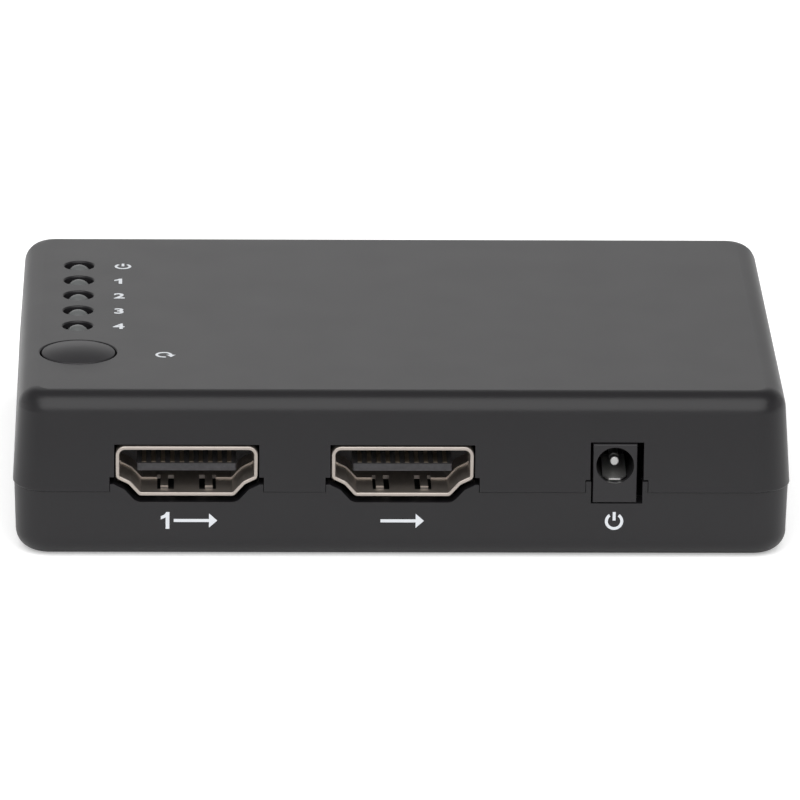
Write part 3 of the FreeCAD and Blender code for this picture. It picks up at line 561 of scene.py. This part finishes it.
def ring_and_bar(height):
    """An open ring with an upright bar in its gap."""
    width = height * 0.15
    radius = (height - width) * 0.46
    half = width / 2
    bar_foot = radius * 0.1
    bar_top = radius * 1.28
    ring = arc_band(radius, width, start=125, end=415)
    return [ring, bar(-half, half, bar_foot, bar_top)]


def turning_arrow(height):
    """An open ring that ends in an arrowhead."""
    width = height * 0.15
    radius = (height - width) * 0.45
    head = width * 1.7
    reach = head * 1.5
    tip = [(radius - head, 0), (radius, -reach), (radius + head, 0)]
    return [arc_band(radius, width, start=0, end=285) + tip]


def straight_arrow(height, length):
    """An arrow to the right, its middle at the origin."""
    half = height * 0.09
    head = height * 0.42
    start = -length / 2
    end = length / 2
    neck = end - head * 1.1
    return [[(start, -half), (neck, -half), (neck, -head), (end, 0), (neck, head),
             (neck, half), (start, half)]]


def flat_curve(outlines):
    """A filled flat curve from closed outlines."""
    curve = bpy.data.curves.new("mark", "CURVE")
    curve.dimensions = "2D"
    curve.fill_mode = "BOTH"
    for outline in outlines:
        spline = curve.splines.new("POLY")
        spline.points.add(len(outline) - 1)
        for point, (x, y) in zip(spline.points, outline):
            point.co = (x, y, 0, 1)
        spline.use_cyclic_u = True
    return curve


def numeral_one(height):
    """A plain 1 with its flag, as one outline with its middle at the origin."""
    top = height / 2
    right = height * 0.16
    stem = height * 0.21
    flag = height * 0.2
    left = right - stem
    tip = left - height * 0.27
    return [[(right, -top), (right, top), (right - stem * 0.8, top), (left - flag * 0.4, top - flag * 0.8),
             (tip, top - flag * 1.25), (tip, top - flag * 2.2), (left, top - flag * 1.6), (left, -top)]]


def numeral_curve(text, height):
    """One numeral, its middle at the origin."""
    if text == "1":
        return flat_curve(numeral_one(height))
    cap_share = 0.729
    weight = 0.035
    curve = bpy.data.curves.new("numeral", "FONT")
    curve.body = text
    curve.size = height / cap_share
    curve.align_x = "CENTER"
    curve.align_y = "CENTER"
    curve.offset = height * weight
    curve.resolution_u = 6
    return curve


UPRIGHT = Matrix.Rotation(math.radians(90), 4, "X")
FACINGS = {
    "top": Matrix.Identity(4),
    "front": UPRIGHT,
    "back": Matrix.Rotation(math.radians(180), 4, "Z") @ UPRIGHT,
}


def printed(name, curve, place, facing, node, thickness):
    """Turn a flat curve into ink that lies on a CAD node's top, front or back, wherever that face leans."""
    curve.extrude = thickness / 2
    maker = bpy.data.objects.new(name + "_outline", curve)
    bpy.context.scene.collection.objects.link(maker)
    bpy.context.view_layer.update()
    mesh = bpy.data.meshes.new_from_object(maker)
    bpy.data.objects.remove(maker)
    turn = FACINGS[facing]
    outward = turn @ Vector((0, 0, 1))
    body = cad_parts[node].data
    tree = BVHTree.FromPolygons([v.co for v in body.vertices], [p.vertices for p in body.polygons])
    above = 0.005
    lift = thickness * 0.4
    for vertex in mesh.vertices:
        layer = vertex.co.z
        flat = turn @ Vector((vertex.co.x, vertex.co.y, 0)) + place
        hit, _, _, _ = tree.ray_cast(flat + outward * above, -outward)
        if hit is None:
            raise RuntimeError("%s does not lie on %s" % (name, node))
        vertex.co = hit + outward * (layer + lift)
    mesh.name = name
    mark = bpy.data.objects.new(name, mesh)
    bpy.context.scene.collection.objects.link(mark)
    return mark


class SPLITTER_OT_printed_marks(bpy.types.Operator):
    """Print the numerals and signs on the covers"""

    bl_idname = "splitter.printed_marks"
    bl_label = "Printed marks"

    def execute(self, context):
        self.look = context.scene.splitter_marks
        self.marks = []
        self.top_marks()
        self.side_marks()
        white = ink("printed_ink", self.look.colour)
        for mark in self.marks:
            mark.data.materials.clear()
            mark.data.materials.append(white)
            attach(mark, "case")
        return {"FINISHED"}

    def put(self, name, curve, place, facing, node):
        self.marks.append(printed(name, curve, place, facing, node, self.look.thickness))

    def top_marks(self):
        """Signs and numerals to the right of the lamps and the reset button."""
        look = self.look
        height = look.numeral_height
        sign = height * SIGN_SHARE
        for lamp in nodes_named("lamp_output_"):
            numeral = lamp[-1]
            spot = middle(lamp)
            half = height * 0.3
            place = Vector((spot.x + look.lamp_gap + half, spot.y - look.numeral_drop, case_high.z))
            self.put("numeral_" + numeral, numeral_curve(numeral, height), place, "top", "top_cover")
        spot = middle("lamp_power")
        half = height * 0.5
        place = Vector((spot.x + look.lamp_gap + half, spot.y - look.numeral_drop, case_high.z))
        self.put("power_lamp_sign", flat_curve(ring_and_bar(sign)), place, "top", "top_cover")
        spot = middle("reset_button")
        place = Vector((spot.x + look.button_gap, spot.y - look.button_drop, case_high.z))
        self.put("reset_sign", flat_curve(turning_arrow(sign)), place, "top", "top_cover")

    def side_marks(self):
        """An arrow under each socket, a numeral beside each output's, and a sign under the power socket."""
        look = self.look
        height = look.front_height
        for shell in nodes_named("hdmi_shell_"):
            port = shell.removeprefix("hdmi_shell_")
            spot = middle(shell)
            facing = "back" if spot.y > 0 else "front"
            along = -1 if facing == "back" else 1
            level = base_high.y if facing == "back" else base_low.y
            arrow_shift = height * 0.5 if port != "input" else 0
            place = Vector((spot.x + along * arrow_shift, level, look.front_rise))
            arrow = flat_curve(straight_arrow(height, look.arrow_length))
            self.put(port + "_arrow", arrow, place, facing, "bottom_cover")
            if port != "input":
                numeral_shift = height * 0.1 - look.arrow_length / 2
                place = Vector((spot.x + along * numeral_shift, level, look.front_rise))
                self.put(port + "_numeral", numeral_curve(port[-1], height), place, facing, "bottom_cover")
        place = Vector((middle("power_jack_body").x, base_low.y, look.front_rise))
        sign = flat_curve(ring_and_bar(height * SIGN_SHARE))
        self.put("power_socket_sign", sign, place, "front", "bottom_cover")


# Stage

def soft_light(name, place, target, width, height, power):
    """A rectangular soft box that looks at a point."""
    light = bpy.data.lights.new(name, "AREA")
    light.shape = "RECTANGLE"
    light.size = width
    light.size_y = height
    light.energy = power
    holder = bpy.data.objects.new(name, light)
    holder.location = place
    holder.rotation_euler = (Vector(target) - Vector(place)).to_track_quat("-Z", "Y").to_euler()
    bpy.context.scene.collection.objects.link(holder)
    return holder


def make_floor(look):
    """A wide pale floor that shows white round the object and keeps its shadow; its colour is painted
    darker in front of the case, and its glow to the camera is painted weaker next to the case, both as
    painted shade.
    """
    half = 6.0
    drop = 0.00005
    corners = [(x, y, -drop) for x, y in bar(-half, half, -half, half)]
    mesh = bpy.data.meshes.new("floor")
    mesh.from_pydata(corners, [], [(0, 1, 2, 3)])
    floor = bpy.data.objects.new("floor", mesh)
    bpy.context.scene.collection.objects.link(floor)
    finish = new_finish("floor_paper")
    seen = finish.add("ShaderNodeLightPath", output="Is Camera Ray")
    ahead = case_low.y - finish.part(finish.place(), "Y")
    # Painted falloff from 0 just in front of the case to 1 at the fade length: it paints the floor's colour
    # darker and its glow to the camera stronger further away, which leaves painted shade next to the case.
    painted_falloff = finish.ramp(ahead * (1 / look.fade_length), [(0.1, 0.0), (1.0, 1.0)])
    cloud = finish.cloud(0.4)
    faded = scaled(look.floor_colour, look.fade)
    finish.surface({
        "Base Color": finish.between(painted_falloff + cloud * 0.02, look.floor_colour, faded),
        "Roughness": 0.9,
        "Specular IOR Level": 0.1,
        # Painted shade: the glow to the camera is weaker next to the case's front than further in front of
        # it.
        "Emission Color": seen * (0.34 + painted_falloff * 0.35),
        "Emission Strength": 1.0,
    })
    floor.data.materials.append(finish.owner)


def make_world():
    """An even surround that is white to the camera, and that gloss sees dimmed above and aside."""
    world = bpy.data.worlds.new("studio")
    bpy.context.scene.world = world
    finish = Finish(world)
    seen = finish.add("ShaderNodeLightPath", output="Is Camera Ray")
    glossy = finish.add("ShaderNodeLightPath", output="Is Glossy Ray")
    direction = finish.add("ShaderNodeTexCoord", output="Generated")
    upward = finish.part(direction, "Z")
    backward = finish.part(direction, "Y") * 0.5 + 0.5
    rightward = finish.part(direction, "X") * 0.5 + 0.5
    by_height = finish.ramp(upward, [(0.0, 0.75), (0.16, 0.85), (0.3, 1.0), (0.56, 0.24), (1.0, 0.24)])
    by_depth = finish.ramp(backward, [(0.0, 0.55), (0.3, 0.4), (0.5, 1.0)])
    by_side = finish.ramp(rightward, [(0.3, 0.7), (0.47, 1.0), (0.5, 1.0), (0.56, 0.8), (0.65, 0.6)])
    mirrored = by_height * by_depth * by_side * 1.16
    even = 0.68
    level = finish.add("ShaderNodeMix", {"data_type": "FLOAT"}, {0: glossy, 2: even, 3: mirrored})
    shown = finish.add("ShaderNodeMix", {"data_type": "FLOAT"}, {0: seen, 2: level, 3: 1.0})
    light = finish.add("ShaderNodeBackground", None, {"Color": shown, "Strength": 1.0})
    finish.add("ShaderNodeOutputWorld", None, {"Surface": light})


def make_camera(look):
    """The camera at the photograph's angle."""
    camera = bpy.data.cameras.new("camera")
    camera.lens = look.camera_lens
    camera.sensor_width = 36
    camera.clip_start = 0.01
    camera.clip_end = 100
    level = Vector((math.cos(look.camera_yaw), -math.sin(look.camera_yaw), 0))
    ahead = Vector((math.sin(look.camera_yaw) * math.cos(look.camera_pitch),
                    math.cos(look.camera_yaw) * math.cos(look.camera_pitch),
                    -math.sin(look.camera_pitch)))
    upright = level.cross(ahead)
    right = level * math.cos(look.camera_roll) + upright * math.sin(look.camera_roll)
    up = upright * math.cos(look.camera_roll) - level * math.sin(look.camera_roll)
    turn = Matrix((right, up, -ahead)).transposed().to_4x4()
    holder = bpy.data.objects.new("camera", camera)
    holder.matrix_world = Matrix.Translation(look.camera_place) @ turn
    bpy.context.scene.collection.objects.link(holder)
    bpy.context.scene.camera = holder


class SPLITTER_OT_stage(bpy.types.Operator):
    """Set up the floor, the studio light and the camera"""

    bl_idname = "splitter.stage"
    bl_label = "Stage"

    def execute(self, context):
        look = context.scene.splitter_stage
        make_floor(look)
        make_world()
        case_middle = (0, 0, 0.01)
        soft_light("front_light", (0, -0.93, 1.05), case_middle, width=2.2, height=1.85, power=26.5)
        make_camera(look)
        context.scene.view_settings.view_transform = "Standard"
        return {"FINISHED"}


class SPLITTER_PT_panel(bpy.types.Panel):
    """The steps that finish the splitter, in order"""

    bl_idname = "SPLITTER_PT_panel"
    bl_label = "HDMI splitter"
    bl_space_type = "VIEW_3D"
    bl_region_type = "UI"
    bl_category = "Splitter"

    def draw(self, context):
        for operator in OPERATORS:
            self.layout.operator(operator.bl_idname)
        for group in SETTINGS:
            box = self.layout.box()
            look = getattr(context.scene, group)
            for name in look.__annotations__:
                box.prop(look, name)


SETTINGS = {
    "splitter_case": SplitterCase,
    "splitter_sockets": SplitterSockets,
    "splitter_controls": SplitterControls,
    "splitter_marks": SplitterMarks,
    "splitter_stage": SplitterStage,
}
OPERATORS = (
    SPLITTER_OT_case,
    SPLITTER_OT_sockets,
    SPLITTER_OT_power_socket,
    SPLITTER_OT_lamps,
    SPLITTER_OT_reset_button,
    SPLITTER_OT_circuit_board,
    SPLITTER_OT_printed_marks,
    SPLITTER_OT_stage,
)


def register():
    for group in SETTINGS.values():
        bpy.utils.register_class(group)
    for name, group in SETTINGS.items():
        setattr(bpy.types.Scene, name, bpy.props.PointerProperty(type=group))
    for operator in OPERATORS:
        bpy.utils.register_class(operator)
    bpy.utils.register_class(SPLITTER_PT_panel)


def unregister():
    bpy.utils.unregister_class(SPLITTER_PT_panel)
    for operator in reversed(OPERATORS):
        bpy.utils.unregister_class(operator)
    for name, group in SETTINGS.items():
        delattr(bpy.types.Scene, name)
        bpy.utils.unregister_class(group)


def main():
    register()
    for operator in OPERATORS:
        family, step = operator.bl_idname.split(".")
        getattr(getattr(bpy.ops, family), step)()


if __name__ == "__main__":
    main()
